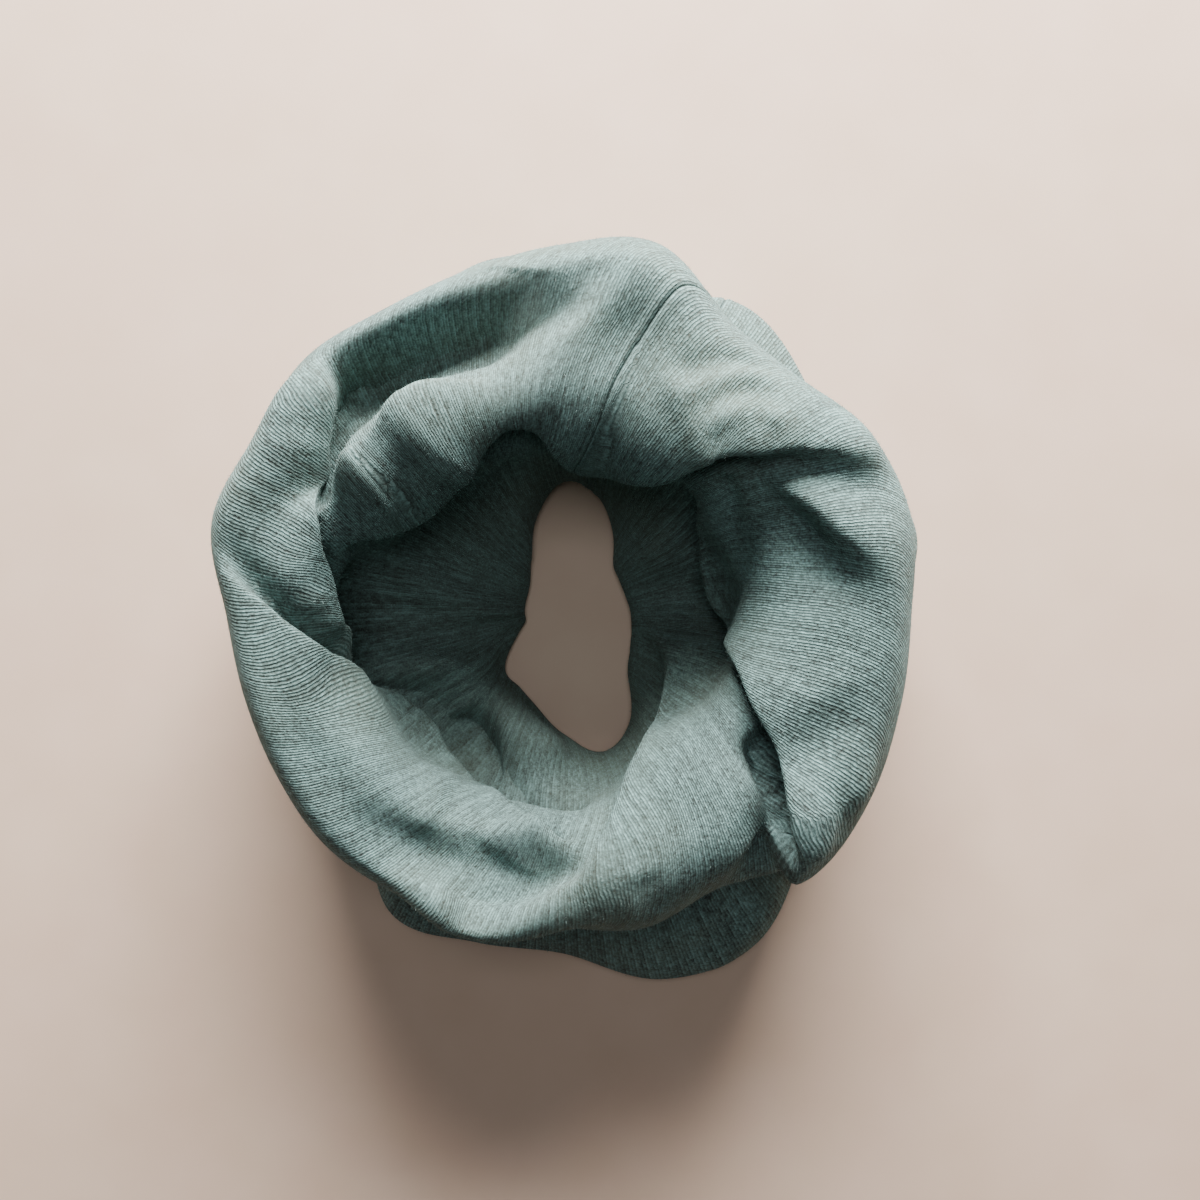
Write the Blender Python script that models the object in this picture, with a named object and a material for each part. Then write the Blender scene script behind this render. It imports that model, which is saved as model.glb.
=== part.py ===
"""Neck warmer: one closed tube of jersey, slumped on a table as a ring with an open neck.

Metres, +Z up, origin at the middle of the ring on the table. Azimuths are in degrees, counter-clockwise
from +X. "Across" counts round the section of the tube, from 0 at the outer foot over the top to 14.
"""

import bpy
import numpy as np

MM = 0.001
WALL = 1.3 * MM
INNER_ROUNDINGS = 3
INNER_MOST = 1.2 * MM
SEAM_GAP = 0.32 * MM
SEAM_AZIMUTH = 62.7
STRETCH_SPAN = 90.0
GRAIN_LEAN = 16.0
STRETCH_COLUMNS = 26
STATION_STEP = 15.0
MARKS = 14
ACROSS_LENGTH = 22.0
ALONG_LENGTH = 1.5
FLOOR_BLEND = 12.0
TOE_HEIGHT = 9.0
PATH_STEPS = 40

CORE_COLUMNS = 48
CORE_ROWS = 12
CORE_FOOT = 1.9
CORE_TOP = 36.0
CORE_MARGIN = 10.0
CORE_INWARD = 2.0

# How many rows of the mesh lie between each mark round the section and the next.
ROWS_BETWEEN_MARKS = (2, 2, 2, 2, 3, 4, 4, 4, 4, 3, 3, 2, 1, 1)

# azimuth, roll, ledge, side, rim, crown, throat, toe: radii and heights of the section, in millimetres
STATIONS = (
    (0, 108, 110, 115, 90, 94, 60, 26),
    (15, 112, 114, 119, 91, 95, 59, 25),
    (30, 108, 110, 115, 92, 96, 58, 25),
    (45, 126, 96, 109, 93, 97, 56, 27),
    (60, 108, 103, 110, 94, 97, 54, 36),
    (75, 118, 120, 124, 96, 94, 54, 45),
    (90, 113, 115, 119, 97, 94, 52, 48),
    (105, 108, 110, 115, 95, 91, 51, 38),
    (120, 107, 109, 114, 94, 90, 52, 26),
    (135, 110, 112, 117, 93, 90, 55, 20),
    (150, 107, 109, 114, 92, 90, 61, 18),
    (165, 109, 111, 116, 92, 92, 68, 18),
    (180, 99, 101, 106, 91, 92, 70, 18),
    (195, 98, 100, 105, 90, 92, 68, 18),
    (210, 99, 101, 106, 88, 88, 64, 23),
    (225, 102, 103, 108, 85, 84, 65, 32),
    (240, 128, 94, 107, 82, 76, 64, 34),
    (255, 126, 89, 103, 81, 76, 62, 38),
    (270, 126, 89, 103, 80, 78, 62, 46),
    (285, 140, 93, 108, 80, 84, 62, 54),
    (300, 141, 92, 105, 82, 86, 56, 48),
    (315, 126, 98, 116, 86, 88, 54, 34),
    (330, 111, 113, 118, 86, 86, 54, 29),
    (345, 109, 111, 116, 88, 90, 57, 27),
)

# A row per fold: its crest as (azimuth, across) points, then in millimetres how far it rises and leans to
# the left of its crest, its width behind and in front, the tuck in front, and the lengths of its two ends.
FOLDS = (
    # pocket under the back rim
    (((74, 6.55), (82, 6.69), (90, 6.81), (99, 6.86), (109, 6.85), (119, 6.8), (129, 6.78),
      (137, 6.85), (146, 7.01), (155, 7.59)),
     -28, 0, 14, 13, 0, 70, 30),
    # edge of the seam panel over the neck opening
    (((26, 4.85), (34, 6.21), (40, 6.85), (49, 7.72), (59, 8.75), (79, 9.63), (92, 8.87), (103, 8.55)),
     6, 6, 18, 10, 7, 24, 40),
    # ridge between the pocket and the neck opening
    (((77, 6.2), (80, 6.65), (86, 7.1), (93, 7.5), (101, 7.61), (110, 7.23), (121, 6.98),
      (135, 7.01), (146, 7.19), (159, 7.65)),
     5, 1, 9, 8, 0, 30, 40),
    # inner edge of the left panel
    (((132, 5.23), (139, 6.14), (144, 6.6), (153, 7.08), (163, 7.73), (174, 8.34), (186, 9.13),
      (195, 9.86)),
     7, 6, 16, 9, 6, 30, 30),
    # ridge from the left side to the front of the neck opening
    (((169, 5.35), (176, 6.48), (185, 7.24), (194, 7.95), (207, 8.93), (223, 9.7), (237, 9.34),
      (259, 8.1), (281, 7.64)),
     7, 5, 13, 10, 6, 50, 24),
    # hollow behind the front ridge
    (((225, 7.75), (239, 7.29), (250, 7.05), (262, 7.04), (272, 7.5)),
     -8, 0, 10, 9, 0, 24, 24),
    # front ridge, from the outer side into the neck opening
    (((237, 6.5), (244, 6.22), (251, 5.98), (260, 5.88), (270, 6.26), (279, 6.94), (287, 7.84),
      (299, 8.61), (319, 9.91), (340, 10.5)),
     8, 4, 12, 9, 6, 30, 40),
    # inner edge of the right panel
    (((316, 4.6), (322, 6.2), (329, 6.91), (341, 7.9), (361, 9.6), (380, 10), (397, 10.05)),
     8, 6, 18, 10, 8, 30, 40),
    # soft ridge across the right panel
    (((43, 7.25), (33, 7.42), (23, 7.2), (16, 6.94), (9, 6.4), (6, 5.8)),
     5, 0, 11, 9, 6, 20, 20),
)


def spline(before, start, end, after, share):
    """Smooth value between start and end, with a neighbour on each side."""
    return 0.5 * (
        2 * start
        + (end - before) * share
        + (2 * before - 5 * start + 4 * end - after) * share**2
        + (3 * start - before - 3 * end + after) * share**3
    )


def station_value(column, azimuth):
    """A column of the station table at any azimuth."""
    values = np.array([row[column] for row in STATIONS], float)
    place = azimuth / STATION_STEP
    first = np.floor(place).astype(int)
    count = len(values)
    near = [values[(first + step) % count] for step in (-1, 0, 1, 2)]
    return spline(*near, place - first)


def section_point(azimuth, across):
    """Point of the unfolded ring, in millimetres."""
    roll, ledge, side, rim, crown, throat, toe = [station_value(k, azimuth) for k in range(1, 8)]
    width = side - throat
    zero = 0 * rim
    radii = [
        roll - 6,
        roll,
        roll + 0.35 * (ledge - roll),
        ledge,
        side,
        side - 0.05 * width,
        side - 0.22 * width,
        (side + throat) / 2,
        throat + 0.22 * width,
        throat + 0.05 * width,
        throat,
        toe,
        toe + 7,
        (toe + roll) / 2,
    ]
    heights = [
        zero,
        0.14 * rim,
        0.29 * rim,
        0.38 * rim,
        0.57 * rim,
        0.80 * rim,
        rim,
        crown,
        0.96 * rim,
        0.76 * rim,
        0.42 * rim,
        zero + TOE_HEIGHT,
        zero,
        zero,
    ]
    across = np.mod(across, MARKS)
    first = np.floor(across).astype(int)
    share = across - first
    found = []
    for marks in (np.stack(radii), np.stack(heights)):
        near = [np.take_along_axis(marks, ((first + k) % MARKS)[None], 0)[0] for k in (-1, 0, 1, 2)]
        found.append(spline(*near, share))
    radius = found[0]
    height = np.maximum(found[1], 0)
    angle = np.radians(azimuth)
    return np.stack([radius * np.cos(angle), radius * np.sin(angle), height], -1)


def unit(vectors):
    """The vectors at length one."""
    return vectors / np.maximum(np.linalg.norm(vectors, axis=-1, keepdims=True), 1e-9)


def ease(share):
    """Zero below 0, one above 1 and smooth between."""
    share = np.clip(share, 0, 1)
    return share * share * (3 - 2 * share)


def bell(distance, width):
    """Rounded bump, one at distance 0."""
    return np.exp(-((distance / width) ** 2))


def crest_line(path):
    """Short straight steps along a fold's crest, in millimetres along and across the cloth."""
    points = np.array(path, float)
    points = np.vstack([2 * points[0] - points[1], points, 2 * points[-1] - points[-2]])
    spans = len(points) - 3
    place = np.linspace(0, spans, PATH_STEPS)
    first = np.minimum(place.astype(int), spans - 1)
    share = (place - first)[:, None]
    line = spline(*[points[first + k] for k in range(4)], share)
    return line * np.array([ALONG_LENGTH, ACROSS_LENGTH])


def from_crest(azimuth, across, line):
    """Distance to the left of the crest, distance gone along it and the crest's direction."""
    nearest = np.full(azimuth.shape, 1e9)
    left = np.zeros(azimuth.shape)
    gone = np.zeros(azimuth.shape)
    direction = np.zeros(azimuth.shape + (2,))
    lengths = np.linalg.norm(np.diff(line, axis=0), axis=1)
    starts = np.concatenate([[0], np.cumsum(lengths)])
    up = across * ACROSS_LENGTH
    for turn in (-360, 0, 360):
        round_ring = (azimuth + turn) * ALONG_LENGTH
        for k in range(len(lengths)):
            way = (line[k + 1] - line[k]) / lengths[k]
            east = round_ring - line[k][0]
            north = up - line[k][1]
            run = np.clip(east * way[0] + north * way[1], 0, lengths[k])
            off_east = east - run * way[0]
            off_north = north - run * way[1]
            distance = np.hypot(off_east, off_north)
            closer = distance < nearest
            nearest = np.where(closer, distance, nearest)
            side = np.sign(way[0] * off_north - way[1] * off_east)
            left = np.where(closer, side * distance, left)
            gone = np.where(closer, starts[k] + run, gone)
            direction[closer] = way
    return left, gone, starts[-1], direction


def cloth_point(azimuth, across):
    """Point of the cloth's outer face with its folds, in millimetres."""
    point = section_point(azimuth, across)
    along = unit(section_point(azimuth + 0.5, across) - section_point(azimuth - 0.5, across))
    up = unit(section_point(azimuth, across + 0.02) - section_point(azimuth, across - 0.02))
    outward = unit(np.cross(along, up))
    clear = ease(point[..., 2] / FLOOR_BLEND)
    folded = point.copy()
    open_across = np.where(across > MARKS - 1.3, across - MARKS, across)
    for path, rise, lean, back, front, tuck, start_length, end_length in FOLDS:
        left, gone, length, way = from_crest(azimuth, open_across, crest_line(path))
        share = ease(gone / start_length) * ease((length - gone) / end_length) * clear
        bump = bell(left, np.where(left < 0, back, front)) * share
        hollow = bell(left - 1.9 * front, front) * share
        leftward = way[..., :1] * up - way[..., 1:] * along
        folded += (rise * bump - tuck * hollow)[..., None] * outward
        folded += (lean * bump)[..., None] * leftward
    folded[..., 2] = np.maximum(folded[..., 2], 0)
    return folded


def across_rows():
    """Across value of each row of the mesh."""
    rows = []
    for mark, count in enumerate(ROWS_BETWEEN_MARKS):
        rows.extend(mark + k / count for k in range(count))
    return np.array(rows)


def grain_azimuth(azimuth, across):
    """Azimuth of a thread of the cloth, which leans as it goes over the top into the neck opening."""
    lean = ease((across - 4.5) / 5.0) * ease((MARKS - across) / 4.0)
    return azimuth + GRAIN_LEAN * lean


def grid_normals(points):
    """Outward normals of a grid that closes across and is open along."""
    along = np.gradient(points, axis=0)
    across = np.roll(points, -1, 1) - np.roll(points, 1, 1)
    return unit(np.cross(along, across))


def stretch_walls(start, span, columns):
    """Outer and inner faces of a stretch of the tube, in metres, drawn back a little from each end."""
    step = span / columns
    across = across_rows()
    azimuth = np.linspace(start - step, start + span + step, columns + 3)[:, None] + 0 * across
    across = across + 0 * azimuth
    azimuth = grain_azimuth(azimuth, across)
    outer = cloth_point(azimuth, across)
    normals = grid_normals(outer)
    straight = outer - normals * (WALL / MM)
    inner = straight
    for _ in range(INNER_ROUNDINGS):
        sideways = (np.roll(inner, 1, 1) + np.roll(inner, -1, 1)) / 2 - inner
        inward = np.sum(sideways * normals, axis=-1, keepdims=True) < 0
        inner = inner + np.where(inward, 0.5 * sideways, 0)
    moved = np.linalg.norm(inner - straight, axis=-1, keepdims=True)
    inner = straight + (inner - straight) * np.minimum(1, INNER_MOST / MM / np.maximum(moved, 1e-9))
    low = outer[..., 2] < 0.01
    inner[..., 2] = np.where(low, WALL / MM, np.maximum(inner[..., 2], WALL / MM))
    angle = np.radians(azimuth)
    onward = np.stack([-np.sin(angle), np.cos(angle), 0 * angle], -1) * (SEAM_GAP / MM / 2)
    walls = []
    for face in (outer, inner):
        face[1] += onward[1]
        face[-2] -= onward[-2]
        walls.append(face[1:-1] * MM)
    return walls


def shell_faces(outer):
    """Triangles of an outer and an inner grid, cut alike, and of both ends of the stretch."""
    columns, rows = outer.shape[0] - 1, outer.shape[1]
    count = (columns + 1) * rows
    faces = []
    for i in range(columns):
        for j in range(rows):
            k = (j + 1) % rows
            a, b = i * rows + j, (i + 1) * rows + j
            c, d = (i + 1) * rows + k, i * rows + k
            first = np.linalg.norm(outer[i, j] - outer[i + 1, k])
            second = np.linalg.norm(outer[i + 1, j] - outer[i, k])
            halves = ((a, b, c), (a, c, d)) if first < second else ((a, b, d), (b, c, d))
            faces.extend(halves)
            faces.extend(tuple(count + corner for corner in reversed(half)) for half in halves)
    for j in range(rows):
        k = (j + 1) % rows
        faces.append((j, k, count + k))
        faces.append((j, count + k, count + j))
        last = columns * rows
        faces.append((last + k, last + j, count + last + k))
        faces.append((last + j, count + last + j, count + last + k))
    return faces


def add_node(name, points, faces, colour, roughness):
    """A named object with its own material."""
    mesh = bpy.data.meshes.new(name)
    mesh.from_pydata([tuple(p) for p in points.reshape(-1, 3)], [], faces)
    mesh.update()
    node = bpy.data.objects.new(name, mesh)
    bpy.context.scene.collection.objects.link(node)
    material = bpy.data.materials.new(name + "_cloth")
    material.use_nodes = True
    shader = material.node_tree.nodes["Principled BSDF"]
    shader.inputs["Base Color"].default_value = (*colour, 1)
    shader.inputs["Roughness"].default_value = roughness
    mesh.materials.append(material)
    return node


def add_stretch(name, start):
    """One stretch of the tube as a thin wall."""
    outer, inner = stretch_walls(start, STRETCH_SPAN, STRETCH_COLUMNS)
    points = np.concatenate([outer.reshape(-1, 3), inner.reshape(-1, 3)])
    add_node(name, points, shell_faces(outer), (0.13, 0.19, 0.17), 0.9)


def add_hidden_layers(name):
    """The rounded heap of cloth inside the tube."""
    azimuth = np.linspace(0, 360, CORE_COLUMNS, endpoint=False)[:, None] + np.zeros((1, CORE_ROWS))
    turn = np.linspace(0, 2 * np.pi, CORE_ROWS, endpoint=False) + 0 * azimuth
    side = np.minimum(station_value(3, azimuth), station_value(2, azimuth))
    throat = station_value(6, azimuth) - CORE_INWARD
    middle = (side + throat) / 2
    reach = (side - throat) / 2 - CORE_MARGIN
    radius = middle + reach * np.cos(turn)
    height = CORE_FOOT + (CORE_TOP - CORE_FOOT) * (0.5 - 0.5 * np.sin(turn))
    angle = np.radians(azimuth)
    points = np.stack([radius * np.cos(angle), radius * np.sin(angle), height], -1) * MM
    faces = []
    for i in range(CORE_COLUMNS):
        for j in range(CORE_ROWS):
            n, k = (i + 1) % CORE_COLUMNS, (j + 1) % CORE_ROWS
            faces.append((i * CORE_ROWS + k, n * CORE_ROWS + k, n * CORE_ROWS + j, i * CORE_ROWS + j))
    add_node(name, points, faces, (0.11, 0.16, 0.145), 0.92)


def put_origin_in_the_middle():
    """Moves every mesh so that the origin is under the middle of the whole ring."""
    meshes = [node.data for node in bpy.data.objects]
    points = np.array([vertex.co for mesh in meshes for vertex in mesh.vertices])
    middle = (points.min(axis=0) + points.max(axis=0)) / 2
    for mesh in meshes:
        for vertex in mesh.vertices:
            vertex.co.x -= middle[0]
            vertex.co.y -= middle[1]


for thing in list(bpy.data.objects):
    bpy.data.objects.remove(thing)

for name, quarter in (("back_stretch", 0), ("left_stretch", 1), ("front_stretch", 2), ("right_stretch", 3)):
    add_stretch(name, SEAM_AZIMUTH + quarter * STRETCH_SPAN)
add_hidden_layers("hidden_layers")
put_origin_in_the_middle()
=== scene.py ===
"""Neck warmer: one closed tube of grey-green jersey, slumped on a table as a ring with an open neck.

Metres, +Z up, origin on the table under the middle of the ring. The tube is one thin cloth wall with its
folds, its cross seam is a sewn ditch, and a light nap of loose fibres stands on the cloth.
"""

import bpy
import numpy as np
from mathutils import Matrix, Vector


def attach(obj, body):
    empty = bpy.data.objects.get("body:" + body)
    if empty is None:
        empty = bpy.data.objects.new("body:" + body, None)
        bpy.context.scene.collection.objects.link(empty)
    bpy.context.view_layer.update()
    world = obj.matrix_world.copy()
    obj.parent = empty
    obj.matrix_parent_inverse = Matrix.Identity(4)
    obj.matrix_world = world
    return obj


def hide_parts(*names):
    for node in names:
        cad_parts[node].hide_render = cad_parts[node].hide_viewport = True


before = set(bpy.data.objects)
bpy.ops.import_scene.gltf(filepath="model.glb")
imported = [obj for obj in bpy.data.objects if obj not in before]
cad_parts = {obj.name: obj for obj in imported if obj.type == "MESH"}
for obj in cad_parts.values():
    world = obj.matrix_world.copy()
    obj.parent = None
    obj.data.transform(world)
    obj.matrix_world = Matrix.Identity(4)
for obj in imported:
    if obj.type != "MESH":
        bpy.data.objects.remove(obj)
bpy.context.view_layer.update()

# The tube: one rectangle of slub jersey, sewn into a tube along its long edges and closed into a loop at the
# cross seam. It stands on its lower roll and slumps, so the band stays round outside while the top falls over
# in panels towards the neck opening. Each fold is laid along its crest.

MM = 0.001

# Azimuths are in degrees, counter-clockwise from +X. "Across" counts the marks round the tube's section, from 0
# at the outer foot over the top to 14, back at the foot. A degree is about ALONG_LENGTH millimetres of cloth
# and a mark about ACROSS_LENGTH. GRAIN_LEAN gives the degrees by which the threads lean at each mark.
RING_MIDDLE = (1.98, -6.88)
STATION_STEP = 15.0
MARKS = 14
ACROSS_LENGTH = 22.0
ALONG_LENGTH = 1.5
TOE_HEIGHT = 9.0
STRAIGHT_UP = np.array([0.0, 0.0, 1.0])
SEAM_AZIMUTH = 62.7
GRAIN_LEAN = (0, 0, 0, 0, 0, 2, 6.5, 10, 13.3, 17, 18, 16, 9, 3)
COLUMNS = 450
SEAM_COLUMNS = (-0.9, -0.6, -0.35, -0.2, -0.1, 0.0, 0.1, 0.2, 0.35, 0.6, 0.9)
SEAM_SIDE = 1.5
INNER_EVERY = 4
INNER_LOWEST = 1.2
WALL = 3.2

# millimetres above the table over which folds, wrinkles and the seam's ditch fade out
FLOOR_BLEND = 12.0
WRINKLE_BLEND = 8.0
SEAM_BLEND = 6.0

# across value from which the cloth counts as the underside of the roll, and where a fold's tuck lies and how
# far it spreads, in fold widths
UNDERSIDE_FROM = 12.7
TUCK_PLACE = 1.9
TUCK_SPREAD = 1.5

# across value where each zone of rows starts, and how many rows lie in it
ROW_ZONES = ((0.0, 22), (3.4, 142), (11.0, 16))

# azimuth, roll, ledge, side, rim, crown, throat, toe: radii and heights of the section, in millimetres
STATIONS = (
    (0, 108, 110, 115, 90, 94, 60, 26),
    (15, 112, 114, 119, 91, 95, 59, 25),
    (30, 110, 112, 117, 92, 96, 58, 25),
    (45, 123, 97, 109, 93, 97, 56, 27),
    (60, 130, 98, 110, 94, 97, 54, 36),
    (75, 118, 120, 124, 96, 94, 54, 45),
    (90, 113, 115, 119, 97, 94, 52, 48),
    (105, 108, 110, 115, 95, 91, 51, 38),
    (120, 107, 109, 114, 94, 90, 52, 26),
    (135, 110, 112, 117, 93, 90, 55, 20),
    (150, 107, 109, 114, 92, 90, 61, 18),
    (165, 109, 111, 116, 92, 92, 68, 18),
    (180, 100, 102, 107, 91, 92, 70, 18),
    (195, 98, 100, 105, 90, 92, 68, 18),
    (210, 99, 101, 106, 88, 88, 64, 23),
    (225, 102, 103, 108, 85, 84, 65, 32),
    (240, 128, 94, 107, 82, 76, 64, 34),
    (255, 126, 91, 105, 81, 76, 62, 38),
    (270, 126, 90, 104, 80, 78, 62, 46),
    (285, 140, 93, 108, 80, 84, 62, 54),
    (300, 141, 92, 105, 82, 86, 56, 48),
    (315, 124, 96, 114, 86, 88, 54, 34),
    (330, 111, 113, 118, 86, 86, 54, 29),
    (345, 109, 111, 116, 88, 90, 57, 27),
)

# A row per fold: its crest as (azimuth, across) points, then in millimetres how far it rises out of the cloth
# (below zero it sinks straight down) and leans to the left of its crest, its width behind and in front, the
# tuck in front, and the lengths over which its two ends fade.
FOLDS = (
    # pocket under the back rim
    (((83, 6.05), (86.3, 6.48), (92.2, 6.76), (100.2, 6.88), (109.8, 6.84), (118.2, 6.72),
      (126, 6.68), (133.9, 6.87), (141, 7.2)),
     -33, 0, 18, 5, 0, 80, 20),
    # narrow end of the pocket beside the left panel
    (((133, 6.75), (139.9, 6.85), (145.9, 6.94), (151, 7.11), (156, 7.7)),
     -26, 0, 10, 4.5, 0, 16, 18),
    # right end of the seam panel's edge
    (((24, 4.85), (27, 5.26), (30, 6.09), (33.3, 6.42), (38.7, 6.86), (42.5, 7.22), (49.5, 7.53),
      (53, 8.05)),
     7, 5, 18, 6, 4, 50, 21),
    # edge of the seam panel, over the neck opening and on to the left
    (((42, 7.23), (49.5, 7.53), (53.1, 8.04), (57.6, 8.51), (65.5, 8.96), (77.2, 9.36),
      (83.1, 8.98), (88.9, 8.41), (94.4, 8.07), (102.8, 7.93), (110.4, 8.02), (120.6, 8.27),
      (134.4, 8.73), (142, 8.88), (149.3, 8.67), (158.9, 8.59), (168, 8.91)),
     9, 6, 20, 5, 10, 21, 30),
    # ridge between the pocket and the neck opening
    (((77, 6.05), (79.4, 6.55), (85, 7.02), (91.1, 7.46), (98, 7.6)),
     6, 0, 7, 12, 0, 30, 30),
    # fold that stands over the pocket
    (((155, 7.6), (148.4, 7.74), (140.2, 7.84), (131.9, 7.79), (123.8, 7.66), (120.3, 7.61),
      (115.6, 7.6), (107.1, 7.6), (99, 7.6)),
     9, 11, 12, 4.5, 0, 22, 44),
    # inner edge of the left panel
    (((132, 5.45), (138.7, 6.09), (143.1, 6.31), (148.4, 6.53), (155, 6.85), (162.1, 7.46),
      (169.6, 7.79), (174.3, 8.05), (180.4, 8.24), (189.4, 8.69), (194, 9.71)),
     6, 8, 16, 5, 7, 20, 20),
    # ridge from the left side to the front of the neck opening
    (((170, 5.4), (177.2, 6.39), (186.2, 7.08), (196.5, 7.96), (203.3, 8.84), (209.6, 9.7),
      (214.5, 9.85), (223.2, 9.93), (233.3, 9.79), (245, 8.87), (256.9, 8.03), (268.5, 7.81),
      (277, 7.92)),
     2.6, 9, 8, 4, 12, 56, 26),
    # front ridge, from the outer side into the neck opening
    (((236, 6.45), (243.1, 6.19), (250.9, 5.81), (260.3, 5.84), (269.9, 6.22), (278.5, 6.83),
      (283.9, 7.46), (288.6, 7.79), (298, 8.35), (308.2, 8.93), (320.4, 9.87), (336.2, 10.2),
      (354, 10.5)),
     9, 5, 9, 6, 2, 26, 20),
    # inner edge of the right panel
    (((313, 4.6), (319.6, 6.04), (323.3, 6.35), (329, 6.77), (335, 7.29), (341.2, 7.76),
      (349.7, 8.37), (363.1, 9.76), (370.8, 9.96), (384.6, 9.77), (403, 9.31)),
     7, 8, 18, 5, 13, 16, 24),
    # soft ridge across the right panel
    (((6, 5.8), (9.5, 6.35), (16.9, 6.9), (24.2, 7.14), (32.8, 7.43), (40, 7.42)),
     7, 2, 14, 6.5, 5, 34, 26),
    # layer low on the front wall of the neck opening
    (((189, 9.85), (194.6, 10.14), (205.4, 10.31), (227.3, 10.52), (251.8, 10.5), (275, 10.45)),
     8, 0, 5, 7, 3, 30, 20),
    # slope from the front ridge down to the neck opening
    (((226, 8.8), (240, 8.45), (254, 8.2), (268, 8.15)),
     -3.5, 0, 16, 9, 0, 24, 34),
)

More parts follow.
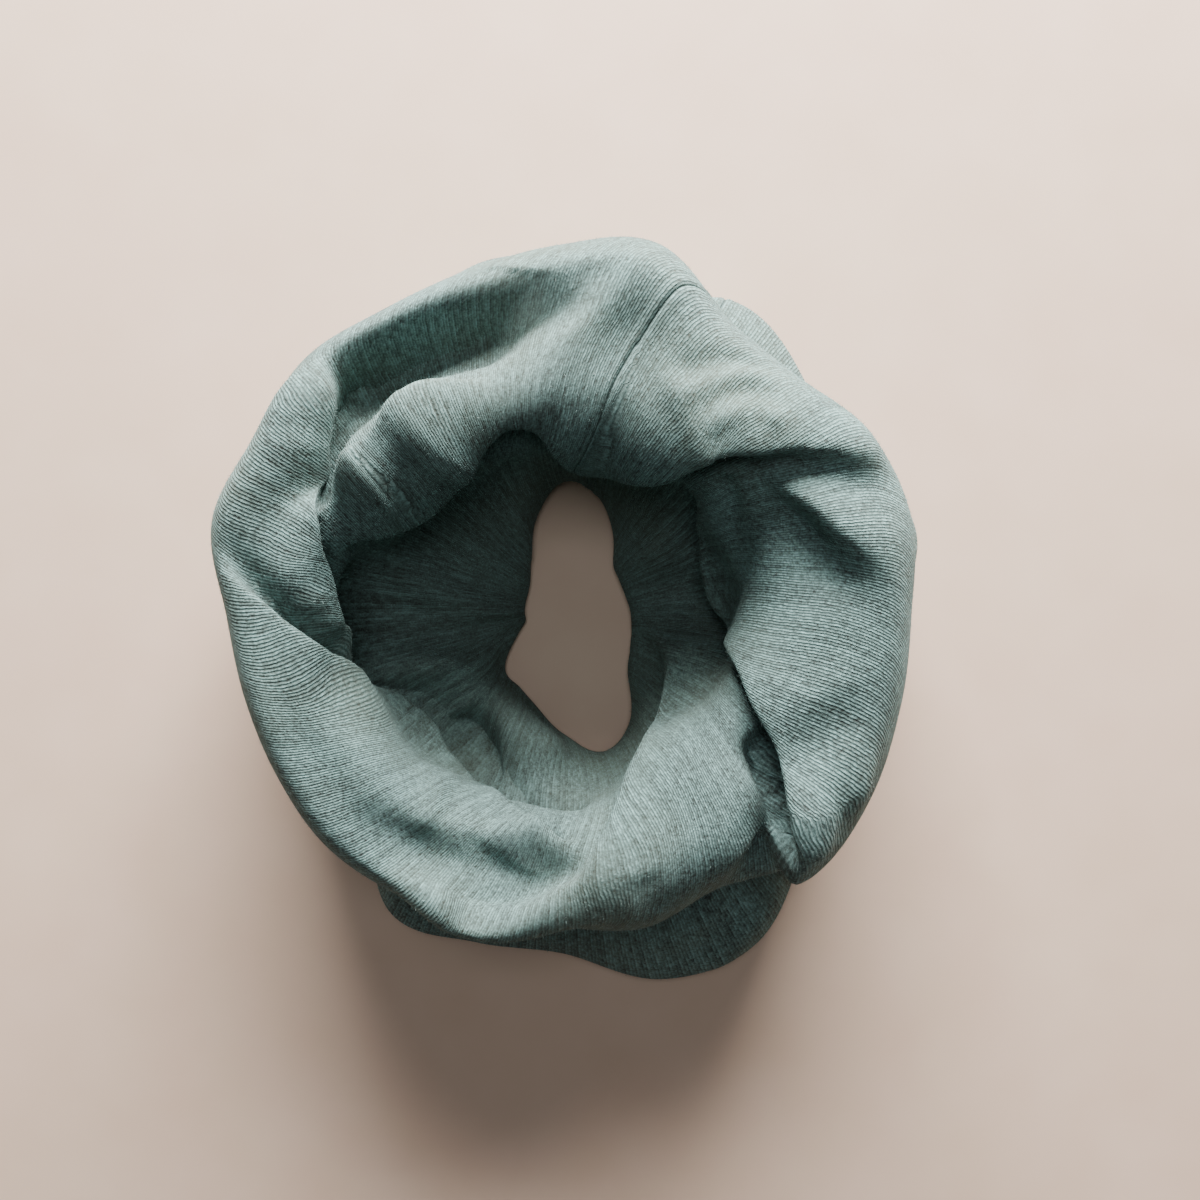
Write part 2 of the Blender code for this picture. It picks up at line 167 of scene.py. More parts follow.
# A row per wrinkle, laid on the folded cloth: its path, then in millimetres how far it rises (or sinks), its
# width behind and in front, and the lengths over which its two ends fade. The sides that a view from above
# hides have wrinkles of the same kind.
WRINKLES = (
    # crease down the fold over the pocket
    (((121.2, 7.73), (121.7, 7.84), (124.7, 7.97), (130.8, 8.16)),
     -1.6, 3, 3, 6, 10),
    # round side right of that crease
    (((119.7, 7.77), (121.1, 7.93), (125.7, 8.11), (133.8, 8.41)),
     3, 3.5, 12, 10, 14),
    # hollow left of that crease
    (((124.9, 7.86), (130, 7.99), (138.2, 8.17), (145.6, 8.25)),
     -3, 13, 5, 14, 16),
    # notch in the back of the pocket
    (((104.6, 6.42), (105.5, 6.67), (107.3, 7.19)),
     -2.2, 4, 4, 6, 12),
    # soft ridge in the pocket
    (((98.4, 6.33), (95.2, 6.72), (91.1, 7.26)),
     1.8, 8, 8, 10, 10),
    # branch of the ridge over the front panel
    (((230.9, 9.55), (235.7, 8.55), (237.1, 7.87), (237.5, 7.11)),
     1.8, 7, 4, 8, 16),
    # crest on the low end of the right panel
    (((319.8, 5.49), (322.5, 5.75), (325.4, 6), (330.4, 6.28), (336.8, 6.72)),
     2.2, 4, 8, 8, 24),
    # trough outside that crest
    (((323, 5.31), (326.8, 5.85), (330.4, 6.12), (334, 6.37)),
     -2, 5, 5, 10, 14),
    # facet on the right side
    (((324.7, 5.47), (328.4, 5.63), (332.8, 5.84), (339, 5.98)),
     2.2, 4, 5, 12, 14),
    # dent on the right side
    (((345.2, 6.32), (340.9, 6.45), (336.1, 6.28)),
     -2.4, 7, 7, 14, 14),
    # soft swelling on the right panel
    (((355.5, 7.2), (346.2, 7.04), (337.7, 6.72)),
     2.4, 12, 12, 18, 18),
    # hollow on the right panel
    (((28.2, 7.97), (17.9, 8), (8.9, 7.68), (2.9, 7.15)),
     -1.4, 12, 12, 20, 24),
    # gap below the edge of the seam panel, beside the right panel
    (((41.1, 8.3), (31.2, 8.65), (19.2, 8.88), (9.4, 8.88)),
     -3.5, 4, 6, 4, 36),
    # first trough of the seam panel
    (((66, 7.37), (60.7, 6.75), (53.9, 6.16), (48.6, 5.7)),
     -1.9, 4, 4, 14, 12),
    # first ridge of the seam panel
    (((68.6, 7.73), (60.6, 7.15), (53.5, 6.5), (46.2, 5.89)),
     1.2, 4, 4, 16, 14),
    # second trough of the seam panel
    (((61.8, 7.52), (56.9, 7.1), (52.3, 6.71), (44.1, 6.15)),
     -1.6, 4, 4, 14, 16),
    # second ridge of the seam panel
    (((56.3, 7.42), (50.2, 6.88), (45.5, 6.48)),
     1.4, 4, 4, 12, 14),
    # third trough of the seam panel
    (((56.5, 7.73), (50.8, 7.23), (46.3, 6.92)),
     -1.4, 5, 5, 12, 12),
    # small pucker near the right of the seam panel
    (((44.5, 6.9), (44.1, 6.65), (43.9, 6.4)),
     1.2, 3, 3, 5, 6),
    # shallow hollow left of the band from the back rim
    (((83.1, 5.86), (83.5, 6.34), (84.8, 6.61)),
     -1.6, 9, 9, 12, 14),
    # band from the back rim down to the neck opening
    (((75.6, 5.65), (78.9, 6.52), (83, 7.24)),
     1.6, 7, 7, 14, 18),
    # swelling over the neck opening's back edge
    (((87.7, 7.84), (77.7, 8.4), (66.3, 8.22), (57.5, 7.63)),
     3, 13, 12, 16, 20),
    # soft dent on the left panel
    (((155.4, 6.18), (160.6, 6.61), (167, 7.3), (175.4, 7.74)),
     -2.6, 12, 10, 24, 24),
    # soft dent high on the left panel
    (((142.3, 6.03), (147.1, 6.14), (152.1, 6.2)),
     -1.4, 8, 8, 14, 14),
    # soft dent on the front left panel
    (((193.7, 7.35), (202.6, 7.85), (212.2, 8.48)),
     -1.6, 10, 10, 20, 20),
    # soft swelling on the front left panel
    (((212.7, 7.21), (221.7, 7.38), (232.5, 7.42)),
     1.6, 12, 12, 20, 20),
    # dent in the front roll
    (((244.9, 6.01), (253.7, 5.96), (262.1, 6.02)),
     -1.8, 4, 4, 14, 14),
    # narrow hollow on the inner right band
    (((341.5, 10.24), (322.1, 9.81), (305.4, 8.46), (297.1, 7.93)),
     -1.5, 5, 5, 16, 16),
    # swelling of the inner right band
    (((329.1, 9.74), (312.1, 8.59), (297.5, 7.59)),
     1.4, 8, 14, 20, 20),
    # slope on the right of that swelling
    (((333.1, 8.21), (324.8, 7.59), (317.2, 7.24)),
     -3.2, 11, 12, 20, 20),
    # wrinkle near the front of the band
    (((288.9, 7.08), (288, 6.38), (289, 5.66)),
     -1.5, 5, 5, 10, 8),
    # middle edge on the low front roll
    (((278.2, 1.84), (285.5, 2.04), (292.6, 2.14), (299.7, 2.23), (303, 2.27)),
     2.4, 3, 8, 16, 14),
    # hollow inside that edge
    (((283.4, 2.15), (289.8, 2.24), (296.3, 2.29)),
     -1.8, 4, 4, 12, 12),
    # tuck left of the low end of the right panel
    (((314.3, 5.66), (318, 6.31), (321.3, 6.85), (324.9, 7.36), (329.3, 8.05)),
     -6, 4.5, 3.5, 8, 28),
    # wrinkle in the front hollow
    (((248.4, 8), (256.8, 7.52), (264, 7.13), (269.5, 6.86)),
     0.9, 4, 4, 12, 12),
    # trough beside that wrinkle
    (((244.4, 7.98), (250.8, 7.51), (257, 7.14), (263.5, 6.83)),
     -0.7, 4, 4, 12, 12),
    # fold on the left wall of the neck opening
    (((146, 9), (158, 9.9), (172, 10.5), (190, 10.9)),
     4.5, 9, 7, 16, 16),
    # second fold on the left wall
    (((166, 9.2), (176, 10), (188, 10.6)),
     -3.5, 7, 7, 14, 14),
    # gap under the edge of the front panel
    (((222, 10.32), (232, 10.26), (244, 10.1), (256, 9.85), (268, 9.55), (280, 9.3)),
     -13, 6, 5, 14, 14),
    # fold low on the back wall
    (((96, 10), (112, 10.4), (130, 10.9)),
     3, 8, 8, 16, 16),
    # fold low on the right wall
    (((372, 10.2), (388, 10.4), (404, 10.6)),
     3, 7, 7, 14, 14),
    # sag fold low on the back
    (((70, 2.6), (84, 2.9), (100, 2.7), (114, 2.3)),
     2.6, 5, 7, 16, 18),
    # hollow above the sag fold on the back
    (((72, 3.4), (88, 3.6), (104, 3.4)),
     -2.4, 6, 6, 14, 16),
    # slanting fold on the back
    (((96, 4.7), (106, 4), (118, 3.3), (130, 2.9)),
     2.4, 4, 8, 14, 18),
    # short crease on the back
    (((120, 4.6), (126, 4), (130, 3.4)),
     -2.2, 4, 4, 8, 12),
    # sag fold on the left side
    (((140, 3.6), (156, 3.2), (174, 3.3), (188, 3.8)),
     2.8, 6, 8, 18, 20),
    # hollow under the sag fold on the left side
    (((146, 2.6), (162, 2.3), (178, 2.5)),
     -2.2, 6, 6, 14, 14),
    # slanting fold on the left side
    (((190, 4.6), (184, 4), (180, 3), (180, 2)),
     2, 4, 7, 12, 16),
    # crease low on the left side
    (((160, 1.6), (172, 1.8), (184, 1.5)),
     1.8, 4, 5, 10, 12),
    # sag fold on the front left
    (((200, 3.4), (214, 3), (228, 3.2)),
     2.4, 5, 7, 14, 14),
    # slanting fold on the front
    (((236, 4.3), (244, 3.8), (256, 3.5)),
     1.8, 4, 6, 12, 14),
    # ripple on the low front roll
    (((252, 1.4), (262, 1.9), (274, 1.6)),
     1.8, 5, 6, 12, 12),
    # second ripple on the low front roll
    (((290, 1), (300, 1.6), (312, 1.5)),
     2.2, 5, 6, 12, 12),
    # sag fold on the right side
    (((325, 3.4), (340, 2.9), (356, 3.1), (370, 3.6)),
     2.8, 6, 8, 18, 20),
    # hollow under the sag fold on the right side
    (((332, 2.2), (348, 2), (362, 2.3)),
     -2.2, 6, 6, 14, 14),
    # slanting fold on the right side
    (((6, 4.6), (14, 4), (24, 3.4), (36, 3)),
     2.4, 4, 7, 14, 16),
    # short crease on the right side
    (((340, 4.4), (346, 3.9), (350, 3.3)),
     -1.8, 4, 4, 8, 10),
    # crease low on the right side
    (((12, 1.7), (26, 1.9), (40, 1.6)),
     1.8, 4, 5, 10, 12),
)


def spline(before, start, end, after, share):
    """Smooth value between start and end, with a neighbour on each side."""
    return 0.5 * (
        2 * start
        + (end - before) * share
        + (2 * before - 5 * start + 4 * end - after) * share**2
        + (3 * start - before - 3 * end + after) * share**3
    )


def station_value(column, azimuth):
    """A column of the station table at any azimuth."""
    values = np.array([row[column] for row in STATIONS], float)
    place = azimuth / STATION_STEP
    first = np.floor(place).astype(int)
    near = [values[(first + step) % len(values)] for step in (-1, 0, 1, 2)]
    return spline(*near, place - first)


def section_point(azimuth, across):
    """Point of the unfolded ring, in millimetres from the ring's own centre."""
    roll, ledge, side, rim, crown, throat, toe = [station_value(k, azimuth) for k in range(1, 8)]
    width = side - throat
    zero = 0 * rim
    radii = np.stack([
        roll - 6, roll, roll + 0.35 * (ledge - roll), ledge, side, side - 0.05 * width,
        side - 0.22 * width, (side + throat) / 2, throat + 0.22 * width, throat + 0.05 * width,
        throat, toe, toe + 7, (toe + roll) / 2,
    ])
    heights = np.stack([
        zero, 0.14 * rim, 0.29 * rim, 0.38 * rim, 0.57 * rim, 0.80 * rim, rim, crown, 0.96 * rim,
        0.76 * rim, 0.42 * rim, zero + TOE_HEIGHT, zero, zero,
    ])
    across = np.mod(across, MARKS)
    first = np.floor(across).astype(int)
    found = []
    for marks in (radii, heights):
        near = [np.take_along_axis(marks, ((first + k) % MARKS)[None], 0)[0] for k in (-1, 0, 1, 2)]
        found.append(spline(*near, across - first))
    angle = np.radians(azimuth)
    return np.stack([found[0] * np.cos(angle), found[0] * np.sin(angle), np.maximum(found[1], 0)], -1)


def unit(vectors):
    """The vectors at length one."""
    return vectors / np.maximum(np.linalg.norm(vectors, axis=-1, keepdims=True), 1e-9)


def ease(share):
    """Zero below 0, one above 1 and smooth between."""
    share = np.clip(share, 0, 1)
    return share * share * (3 - 2 * share)


def bell(distance, width):
    """Rounded bump, one at distance 0."""
    return np.exp(-((distance / width) ** 2))


def crest_line(path):
    """Short straight steps along a fold's crest, in millimetres along and across the cloth."""
    points = np.array(path, float)
    points = np.vstack([2 * points[0] - points[1], points, 2 * points[-1] - points[-2]])
    spans = len(points) - 3
    place = np.linspace(0, spans, max(12, 6 * spans))
    first = np.minimum(place.astype(int), spans - 1)
    line = spline(*[points[first + k] for k in range(4)], (place - first)[:, None])
    return line * np.array([ALONG_LENGTH, ACROSS_LENGTH])


def from_crest(azimuth, across, line, reach):
    """Distance to the left of the crest, distance gone along it and its direction, where it is in reach."""
    left = np.full(azimuth.shape, 1e3)
    gone = np.zeros(azimuth.shape)
    direction = np.zeros(azimuth.shape + (2,))
    lengths = np.linalg.norm(np.diff(line, axis=0), axis=1)
    starts = np.concatenate([[0], np.cumsum(lengths)])
    ways = np.diff(line, axis=0) / lengths[:, None]
    bends = unit(np.vstack([ways[:1], ways[1:] + ways[:-1], ways[-1:]]))
    low, high = line.min(axis=0) - reach, line.max(axis=0) + reach
    whole = 360 * ALONG_LENGTH
    middle = (low[0] + high[0]) / 2
    round_ring = middle + (azimuth * ALONG_LENGTH - middle + whole / 2) % whole - whole / 2
    up = across * ACROSS_LENGTH
    near = (round_ring > low[0]) & (round_ring < high[0]) & (up > low[1]) & (up < high[1])
    x, y = round_ring[near], up[near]
    best = np.full(x.shape, 1e9)
    sided = np.full(x.shape, 1e3)
    run_to = np.zeros(x.shape)
    heading = np.zeros(x.shape + (2,))
    for k, length in enumerate(lengths):
        way = ways[k]
        east, north = x - line[k][0], y - line[k][1]
        run = np.clip(east * way[0] + north * way[1], 0, length)
        off_east, off_north = east - run * way[0], north - run * way[1]
        distance = np.hypot(off_east, off_north)
        closer = distance < best
        best = np.where(closer, distance, best)
        sided = np.where(closer, np.sign(way[0] * off_north - way[1] * off_east) * distance, sided)
        run_to = np.where(closer, starts[k] + run, run_to)
        share = (run / length)[:, None]
        heading[closer] = ((1 - share) * bends[k] + share * bends[k + 1])[closer]
    left[near], gone[near], direction[near] = sided, run_to, heading
    return left, gone, starts[-1], direction


def cloth_point(azimuth, across):
    """Point of the cloth's outer face with its folds, in millimetres."""
    point = section_point(azimuth, across)
    along = unit(section_point(azimuth + 0.5, across) - section_point(azimuth - 0.5, across))
    up = unit(section_point(azimuth, across + 0.02) - section_point(azimuth, across - 0.02))
    outward = unit(np.cross(along, up))
    clear = ease(point[..., 2] / FLOOR_BLEND)
    folded = point.copy()
    open_across = np.where(across > UNDERSIDE_FROM, across - MARKS, across)
    for path, rise, lean, back, front, tuck, start_length, end_length in FOLDS:
        reach = 3 * max(back, front) + 2
        left, gone, length, way = from_crest(azimuth, open_across, crest_line(path), reach)
        share = ease(gone / start_length) * ease((length - gone) / end_length) * clear
        bump = bell(left, np.where(left < 0, back, front)) * share
        beyond = left - TUCK_PLACE * front
        hollow = bell(beyond, np.where(beyond < 0, front, TUCK_SPREAD * front)) * share
        leftward = way[..., :1] * up - way[..., 1:] * along
        push = outward if rise > 0 else STRAIGHT_UP
        folded += (rise * bump)[..., None] * push - (tuck * hollow)[..., None] * outward
        folded += (lean * bump)[..., None] * leftward
    folded[..., 2] = np.maximum(folded[..., 2], 0)
    return folded


def wrinkle_rise(azimuth, across, height):
    """How far the wrinkles lift the folded cloth, in millimetres; less near the table."""
    open_across = np.where(across > UNDERSIDE_FROM, across - MARKS, across)
    total = np.zeros(azimuth.shape)
    for path, rise, back, front, start_length, end_length in WRINKLES:
        left, gone, length, _ = from_crest(azimuth, open_across, crest_line(path), 3 * max(back, front) + 2)
        share = ease(gone / start_length) * ease((length - gone) / end_length)
        total += rise * bell(left, np.where(left < 0, back, front)) * share
    return total * ease(height / WRINKLE_BLEND)


def grid_normals(points, smoothing):
    """Outward normals of a grid that closes both ways, averaged with their neighbours."""
    along = np.roll(points, -1, 0) - np.roll(points, 1, 0)
    across = np.roll(points, -1, 1) - np.roll(points, 1, 1)
    normals = unit(np.cross(along, across))
    for _ in range(smoothing):
        normals = normals + np.roll(normals, 1, 0) + np.roll(normals, -1, 0)
        normals = unit(normals + np.roll(normals, 1, 1) + np.roll(normals, -1, 1))
    return normals


def grid_faces(columns, rows, first, turned):
    """Four-sided faces of a grid that closes both ways, and the column and row of each corner."""
    i, j = np.meshgrid(np.arange(columns), np.arange(rows), indexing="ij")
    corners = np.stack([np.stack([i, i + 1, i + 1, i], -1), np.stack([j, j, j + 1, j + 1], -1)], -1)
    corners = corners.reshape(-1, 4, 2)
    if turned:
        corners = corners[:, ::-1]
    index = first + (corners[..., 0] % columns) * rows + corners[..., 1] % rows
    return index, corners


even = np.linspace(SEAM_SIDE, 360 - SEAM_SIDE, COLUMNS - len(SEAM_COLUMNS))
threads = np.concatenate([np.array(SEAM_COLUMNS[5:]), even, 360 + np.array(SEAM_COLUMNS[:5])])
rows = []
for zone, (start, count) in enumerate(ROW_ZONES):
    end = ROW_ZONES[zone + 1][0] if zone + 1 < len(ROW_ZONES) else MARKS
    rows.extend(np.linspace(start, end, count, endpoint=False))
rows = np.array(rows)
thread, across = np.meshgrid(threads, rows, indexing="ij")
lean_at_mark = np.array(GRAIN_LEAN, float)
below = np.floor(across).astype(int)
lean = spline(*[lean_at_mark[(below + step) % MARKS] for step in (-1, 0, 1, 2)], across - below)
azimuth = SEAM_AZIMUTH + thread + lean
outer = cloth_point(azimuth, across)
outer += grid_normals(outer, 6) * wrinkle_rise(azimuth, across, outer[..., 2])[..., None]
outer[..., 2] = np.maximum(outer[..., 2], 0)
normals = grid_normals(outer, 1)

# The cross seam: the two ends of the tube, sewn together edge to edge. Its stitches pull the cloth down into a
# narrow ditch, and the cloth puckers up a little beside it.
SEAM_DEPTH = 0.6
SEAM_HALF_WIDTH = 0.3
PUCKER_RISE = 0.3
PUCKER_FROM_SEAM = 1.7
PUCKER_WIDTH = 1.0
from_seam = np.minimum(thread, 360 - thread)
round_radius = np.hypot(outer[..., 0], outer[..., 1])
seam_distance = np.radians(from_seam) * round_radius
seam_shape = PUCKER_RISE * bell(seam_distance - PUCKER_FROM_SEAM, PUCKER_WIDTH)
seam_shape -= SEAM_DEPTH * bell(seam_distance, SEAM_HALF_WIDTH)
outer = outer + normals * (seam_shape * ease(outer[..., 2] / SEAM_BLEND))[..., None]

inner = (outer - normals * WALL)[::INNER_EVERY, ::INNER_EVERY]
for _ in range(2):
    inner = (np.roll(inner, 1, 1) + 2 * inner + np.roll(inner, -1, 1)) / 4
inner[..., 2] = np.maximum(inner[..., 2], INNER_LOWEST)
outer_index, outer_corners = grid_faces(*outer.shape[:2], 0, False)
inner_index, inner_corners = grid_faces(*inner.shape[:2], outer[..., 0].size, True)
shift = np.array([RING_MIDDLE[0], RING_MIDDLE[1], 0])
points = np.concatenate([outer.reshape(-1, 3), inner.reshape(-1, 3)]) - shift
tube_mesh = bpy.data.meshes.new("neck_warmer_cloth")
tube_mesh.from_pydata((points * MM).tolist(), [], np.concatenate([outer_index, inner_index]).tolist())
tube_mesh.shade_smooth()
tube = bpy.data.objects.new("neck_warmer_cloth", tube_mesh)
bpy.context.scene.collection.objects.link(tube)

# The cloth map counts turns along the threads' columns from the cross seam, and turns across.
column_turn = np.append(threads, 360.0) / 360
row_turn = np.append(rows, MARKS) / MARKS
inner_column_turn = np.append(threads[::INNER_EVERY], 360.0) / 360
inner_row_turn = np.append(rows[::INNER_EVERY], MARKS) / MARKS
cloth_map = np.concatenate([
    np.stack([column_turn[outer_corners[..., 0]], row_turn[outer_corners[..., 1]]], -1).reshape(-1, 2),
    np.stack([inner_column_turn[inner_corners[..., 0]], inner_row_turn[inner_corners[..., 1]]], -1).reshape(-1, 2),
])
tube_mesh.uv_layers.new(name="cloth").data.foreach_set("uv", cloth_map.ravel().astype(np.float32))

# The jersey: a grey-green slub knit whose raised lines run across the band, thick and thin by turns, with
# flecks, a heathered tone and warmer patches. The opening is narrower than the rim, so fewer lines fit round it.
# Painted shade darkens the grooves between the lines, the seam's ditch and the walls deep in the neck opening.

KNIT_COLUMNS_RIM = 640
KNIT_COLUMNS_THROAT = 420
THROAT_LINE_HEIGHT = 0.45
JERSEY_LIGHT = (0.235, 0.39, 0.378, 1)
JERSEY_MIDDLE = (0.101, 0.156, 0.148, 1)
JERSEY_DARK = (0.034, 0.041, 0.038, 1)
JERSEY_WARM = (0.115, 0.135, 0.100, 1)
JERSEY_PAINTED_OPENING_SHADE = (0.07, 0.085, 0.07, 1)
SEAM_PAINTED_SHADE = (0.03, 0.045, 0.042, 1)
JERSEY_SHEEN = (0.62, 0.80, 0.76, 1)
SLUB_LENGTH = 0.0024
LINE_WAVER = 0.55
LINE_WAVER_SCALE = 420.0
FLECK_SCALE = 1500.0
HEATHER_SCALE = 46.0
WARM_PATCH_SCALE = 17.0
RELIEF_DISTANCE = 0.0004


class Nodes:
    """A material's node tree, with short calls to add and join nodes."""

    def __init__(self, name):
        self.material = bpy.data.materials.new(name)
        self.material.use_nodes = True
        self.tree = self.material.node_tree
        self.shader = self.tree.nodes["Principled BSDF"]

    def add(self, kind, settings=(), **inputs):
        node = self.tree.nodes.new(kind)
        for key, value in dict(settings).items():
            setattr(node, key, value)
        for key, value in inputs.items():
            self.join(value, node.inputs[int(key[1:]) if key[0] == "i" and key[1:].isdigit() else key])
        return node

    def join(self, value, socket):
        if isinstance(value, bpy.types.NodeSocket):
            self.tree.links.new(value, socket)
        else:
            socket.default_value = value

    def math(self, operation, first, second=0.0):
        node = self.add("ShaderNodeMath", {"operation": operation}, i0=first, i1=second)
        return node.outputs[0]

    def ramp(self, value, low, high, to_low=0.0, to_high=1.0):
        node = self.add("ShaderNodeMapRange", {"clamp": True}, i0=value, i1=low, i2=high, i3=to_low, i4=to_high)
        return node.outputs[0]

    def blend(self, share, first, second):
        node = self.add("ShaderNodeMix", {"data_type": "RGBA"}, i0=share, i6=first, i7=second)
        return node.outputs[2]

    def noise(self, place, scale, detail=2.0, roughness=0.5):
        node = self.add("ShaderNodeTexNoise", Vector=place, Scale=scale, Detail=detail, Roughness=roughness)
        return node.outputs["Fac"]


def knit_lines(jersey, turn, place_across, count, body):
    """Raised lines of the knit and their uneven, slubby thickness, as (height, shade)."""
    waver = jersey.math("SUBTRACT", jersey.noise(body, LINE_WAVER_SCALE, 1.0), 0.5)
    waver = jersey.math("MULTIPLY", waver, LINE_WAVER)
    phase = jersey.math("ADD", jersey.math("MULTIPLY", turn, float(count)), waver)
    number = jersey.math("FLOOR", phase)
    wave = jersey.math("SINE", jersey.math("MULTIPLY", phase, 2 * np.pi))
    wave = jersey.ramp(wave, -0.75, 0.8)
    row = jersey.math("DIVIDE", jersey.math("MULTIPLY", place_across, MARKS * ACROSS_LENGTH * MM), SLUB_LENGTH)
    place = jersey.add("ShaderNodeCombineXYZ", X=jersey.math("MULTIPLY", number, 7.31), Y=row).outputs[0]
    slub = jersey.noise(place, 1.0, 2.0, 0.7)
    thread = jersey.add("ShaderNodeTexWhiteNoise", {"noise_dimensions": "1D"}, W=number).outputs["Value"]
    height = jersey.math("MULTIPLY", wave, jersey.ramp(slub, 0.30, 0.62, 0.35, 1.0))
    shade = jersey.math("ADD", slub, jersey.math("MULTIPLY", jersey.math("SUBTRACT", thread, 0.5), 0.22))
    return height, shade


jersey = Nodes("slub_jersey")
cloth_place = jersey.add("ShaderNodeUVMap", {"uv_map": "cloth"}).outputs["UV"]
parts = jersey.add("ShaderNodeSeparateXYZ", Vector=cloth_place)
turn, place_across = parts.outputs[0], parts.outputs[1]
body = jersey.add("ShaderNodeTexCoord").outputs["Object"]
rim_height, rim_shade = knit_lines(jersey, turn, place_across, KNIT_COLUMNS_RIM, body)
deep_height, deep_shade = knit_lines(jersey, turn, place_across, KNIT_COLUMNS_THROAT, body)
deep = jersey.ramp(place_across, 8.6 / MARKS, 9.6 / MARKS)
pick = {"data_type": "FLOAT"}
deep_height = jersey.math("MULTIPLY", deep_height, THROAT_LINE_HEIGHT)
height = jersey.add("ShaderNodeMix", pick, i0=deep, i2=rim_height, i3=deep_height).outputs[0]
shade = jersey.add("ShaderNodeMix", pick, i0=deep, i2=rim_shade, i3=deep_shade).outputs[0]
fleck = jersey.noise(body, FLECK_SCALE, 2.0, 0.6)
heather = jersey.noise(body, HEATHER_SCALE, 3.0, 0.55)
# The raised lines add to the tone, so the grooves between them are painted darker as shade, on top of the threads'
# own slub, flecks and heather.
tone = jersey.math("ADD", jersey.math("MULTIPLY", height, 0.25), jersey.ramp(shade, 0.28, 0.72, 0.03, 0.49))
tone = jersey.math("ADD", tone, jersey.ramp(fleck, 0.35, 0.65, -0.16, 0.16))
tone = jersey.math("ADD", tone, jersey.ramp(heather, 0.3, 0.7, -0.06, 0.06))
colour = jersey.blend(jersey.ramp(tone, -0.05, 0.35), JERSEY_DARK, JERSEY_MIDDLE)
colour = jersey.blend(jersey.ramp(tone, 0.35, 0.95), colour, JERSEY_LIGHT)
warm = jersey.ramp(jersey.noise(body, WARM_PATCH_SCALE, 2.0), 0.42, 0.70, 0.0, 0.35)
colour = jersey.blend(warm, colour, JERSEY_WARM)
# Down the walls of the neck opening the colour is blended towards a dark olive: painted shade, so that the opening
# looks deep.
opening_shade = jersey.ramp(place_across, 9.2 / MARKS, 10.6 / MARKS, 0.0, 0.4)
colour = jersey.blend(opening_shade, colour, JERSEY_PAINTED_OPENING_SHADE)
# The seam's narrow ditch is painted dark as shade.
seam_turn = jersey.math("MINIMUM", turn, jersey.math("SUBTRACT", 1.0, turn))
colour = jersey.blend(jersey.ramp(seam_turn, 0.0002, 0.0007, 0.75, 0.0), colour, SEAM_PAINTED_SHADE)
jersey.join(colour, jersey.shader.inputs["Base Color"])
jersey.shader.inputs["Roughness"].default_value = 0.92
jersey.shader.inputs["Specular IOR Level"].default_value = 0.12
jersey.shader.inputs["Sheen Weight"].default_value = 0.08
jersey.shader.inputs["Sheen Roughness"].default_value = 0.45
jersey.shader.inputs["Sheen Tint"].default_value = JERSEY_SHEEN
relief = jersey.math("ADD", height, jersey.math("MULTIPLY", fleck, 0.5))
raised = jersey.add("ShaderNodeBump", Height=relief, Strength=0.75, Distance=RELIEF_DISTANCE)
jersey.join(raised.outputs[0], jersey.shader.inputs["Normal"])
tube_mesh.materials.append(jersey.material)
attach(tube, "root")
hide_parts("back_stretch", "left_stretch", "front_stretch", "right_stretch", "hidden_layers")

# The nap: short loose fibres that stand on brushed jersey and soften its edges. They grow from the outer face,
# lean every way, and are spread by a fixed seed.

NAP_FIBRES_PER_M2 = 220000.0
NAP_LENGTH = 0.0009
NAP_WIDTH = 0.00004
NAP_SEED = 7
NAP_ABOVE_TABLE = 3.0
NAP_LEAST_TURN = (-1.15, -1.15, -3.1)
NAP_MOST_TURN = (1.15, 1.15, 3.1)
NAP_SIZES = (0.45, 1.5)
NAP_DARK = (0.10, 0.15, 0.14, 1)
NAP_LIGHT = (0.24, 0.34, 0.32, 1)


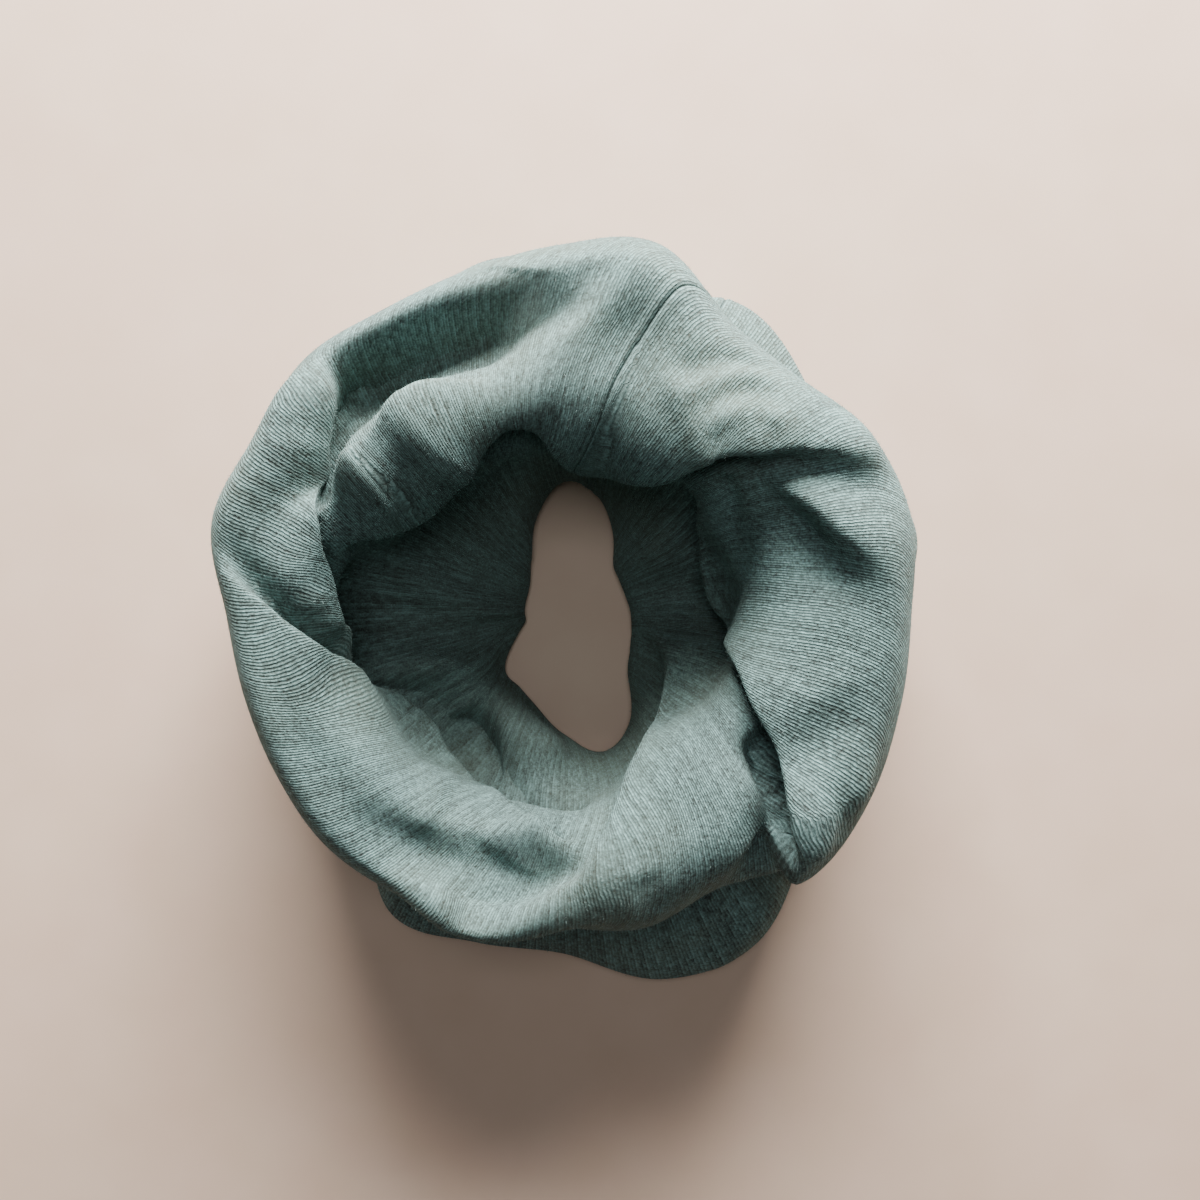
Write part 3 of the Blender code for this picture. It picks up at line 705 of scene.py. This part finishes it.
def nap_tree():
    """Geometry nodes that stand thin three-sided spikes on a surface, leaning at random."""
    tree = bpy.data.node_groups.new("nap_on_cloth", "GeometryNodeTree")
    tree.interface.new_socket("Cloth", in_out="INPUT", socket_type="NodeSocketGeometry")
    tree.interface.new_socket("Fibres per square metre", in_out="INPUT", socket_type="NodeSocketFloat")
    tree.interface.new_socket("Length", in_out="INPUT", socket_type="NodeSocketFloat")
    tree.interface.new_socket("Width", in_out="INPUT", socket_type="NodeSocketFloat")
    tree.interface.new_socket("Seed", in_out="INPUT", socket_type="NodeSocketInt")
    tree.interface.new_socket("Finish", in_out="INPUT", socket_type="NodeSocketMaterial")
    tree.interface.new_socket("Nap", in_out="OUTPUT", socket_type="NodeSocketGeometry")
    given = tree.nodes.new("NodeGroupInput")
    result = tree.nodes.new("NodeGroupOutput")
    link = tree.links.new

    spread = tree.nodes.new("GeometryNodeDistributePointsOnFaces")
    link(given.outputs["Cloth"], spread.inputs["Mesh"])
    link(given.outputs["Fibres per square metre"], spread.inputs["Density"])
    link(given.outputs["Seed"], spread.inputs["Seed"])

    spike = tree.nodes.new("GeometryNodeMeshCone")
    spike.fill_type = "TRIANGLE_FAN"
    spike.inputs["Vertices"].default_value = 3
    spike.inputs["Radius Top"].default_value = 0.0
    link(given.outputs["Width"], spike.inputs["Radius Bottom"])
    link(given.outputs["Length"], spike.inputs["Depth"])

    tilt = tree.nodes.new("FunctionNodeRandomValue")
    tilt.data_type = "FLOAT_VECTOR"
    tilt.inputs[0].default_value = NAP_LEAST_TURN
    tilt.inputs[1].default_value = NAP_MOST_TURN
    link(given.outputs["Seed"], tilt.inputs["Seed"])
    turn_fibre = tree.nodes.new("FunctionNodeRotateRotation")
    turn_fibre.rotation_space = "LOCAL"
    link(spread.outputs["Rotation"], turn_fibre.inputs[0])
    link(tilt.outputs[0], turn_fibre.inputs[1])
    size = tree.nodes.new("FunctionNodeRandomValue")
    size.data_type = "FLOAT"
    size.inputs[2].default_value, size.inputs[3].default_value = NAP_SIZES
    link(given.outputs["Seed"], size.inputs["Seed"])

    grow = tree.nodes.new("GeometryNodeInstanceOnPoints")
    link(spread.outputs["Points"], grow.inputs["Points"])
    link(spike.outputs["Mesh"], grow.inputs["Instance"])
    link(turn_fibre.outputs[0], grow.inputs["Rotation"])
    link(size.outputs[1], grow.inputs["Scale"])
    real = tree.nodes.new("GeometryNodeRealizeInstances")
    link(grow.outputs["Instances"], real.inputs["Geometry"])
    finish = tree.nodes.new("GeometryNodeSetMaterial")
    link(real.outputs["Geometry"], finish.inputs["Geometry"])
    link(given.outputs["Finish"], finish.inputs["Material"])
    link(finish.outputs["Geometry"], result.inputs["Nap"])
    return tree


def grown_on(cloth, name, tree, values):
    """A plain mesh object of what the tree grows on the cloth."""
    growing = bpy.data.objects.new(name + "_growing", cloth)
    bpy.context.scene.collection.objects.link(growing)
    modifier = growing.modifiers.new("grow", "NODES")
    modifier.node_group = tree
    for item in tree.interface.items_tree:
        if item.in_out == "INPUT" and item.name in values:
            modifier[item.identifier] = values[item.name]
    graph = bpy.context.evaluated_depsgraph_get()
    mesh = bpy.data.meshes.new_from_object(growing.evaluated_get(graph))
    bpy.data.objects.remove(growing)
    mesh.name = name
    grown = bpy.data.objects.new(name, mesh)
    bpy.context.scene.collection.objects.link(grown)
    return grown


nap_finish = Nodes("jersey_fibre")
nap_body = nap_finish.add("ShaderNodeTexCoord").outputs["Object"]
nap_shade = nap_finish.ramp(nap_finish.noise(nap_body, 900.0, 1.0), 0.35, 0.65)
nap_colour = nap_finish.blend(nap_shade, NAP_DARK, NAP_LIGHT)
nap_finish.join(nap_colour, nap_finish.shader.inputs["Base Color"])
nap_finish.shader.inputs["Roughness"].default_value = 0.8
nap_finish.shader.inputs["Sheen Weight"].default_value = 0.3

# Only the cloth that is off the table grows a nap.
shown = outer_index[np.min(outer.reshape(-1, 3)[outer_index][..., 2], axis=1) > NAP_ABOVE_TABLE]
nap_ground = bpy.data.meshes.new("nap_ground")
nap_ground.from_pydata(((outer.reshape(-1, 3) - shift) * MM).tolist(), [], shown.tolist())
nap_ground.shade_smooth()
nap = grown_on(nap_ground, "cloth_nap", nap_tree(), {
    "Fibres per square metre": NAP_FIBRES_PER_M2,
    "Length": NAP_LENGTH,
    "Width": NAP_WIDTH,
    "Seed": NAP_SEED,
    "Finish": nap_finish.material,
})

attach(nap, "root")

# The floor: a plain pale table top, matt, with a faint unevenness in its tone.

FLOOR_SIDE = 4.0
FLOOR_DARK = (0.55, 0.395, 0.30, 1)
FLOOR_LIGHT = (0.58, 0.425, 0.33, 1)

bpy.ops.mesh.primitive_plane_add(size=FLOOR_SIDE)
floor = bpy.context.object
floor.name = "floor"
floor_finish = Nodes("pale_floor")
floor_place = floor_finish.add("ShaderNodeTexCoord").outputs["Object"]
floor_tone = floor_finish.ramp(floor_finish.noise(floor_place, 30.0, 3.0), 0.3, 0.7)
floor_colour = floor_finish.blend(floor_tone, FLOOR_DARK, FLOOR_LIGHT)
floor_finish.join(floor_colour, floor_finish.shader.inputs["Base Color"])
floor_finish.shader.inputs["Roughness"].default_value = 0.7
floor.data.materials.append(floor_finish.material)

# Soft studio light: one large lamp stands low behind the ring, so that the folds cast shade towards the front,
# and a weak one hangs over it. The surround is dim, so that the neck opening stays deep.

LAMPS = (
    # place, aimed at, size, watts, colour
    ((0.08, 0.99, 0.42), (0.0, 0.0, 0.04), 0.85, 104.0, (1.0, 0.985, 0.96)),
    ((0.0, 0.2, 1.2), (0.0, 0.0, 0.04), 0.4, 3.5, (0.94, 0.98, 1.0)),
)
for place, target, size, watts, lamp_colour in LAMPS:
    lamp_data = bpy.data.lights.new("soft_lamp", "AREA")
    lamp_data.size = size
    lamp_data.energy = watts
    lamp_data.color = lamp_colour
    lamp = bpy.data.objects.new("soft_lamp", lamp_data)
    bpy.context.scene.collection.objects.link(lamp)
    lamp.location = place
    lamp.rotation_euler = (Vector(target) - Vector(place)).to_track_quat("-Z", "Y").to_euler()

surround = bpy.data.worlds.new("surround")
bpy.context.scene.world = surround
surround.use_nodes = True
surround.node_tree.nodes["Background"].inputs["Color"].default_value = (1.0, 0.97, 0.94, 1)
surround.node_tree.nodes["Background"].inputs["Strength"].default_value = 0.065

# The camera looks straight down from just under half a metre, a little to the right of the ring's middle. Its
# place is in millimetres from the ring's own centre, as the section's points are.

CAMERA_PLACE = (13.1, 4.3, 460.0)
camera_data = bpy.data.cameras.new("camera")
camera_data.lens = 36.57
camera_data.sensor_width = 36.0
camera = bpy.data.objects.new("camera", camera_data)
bpy.context.scene.collection.objects.link(camera)
camera.location = (np.array(CAMERA_PLACE) - shift) * MM
bpy.context.scene.camera = camera
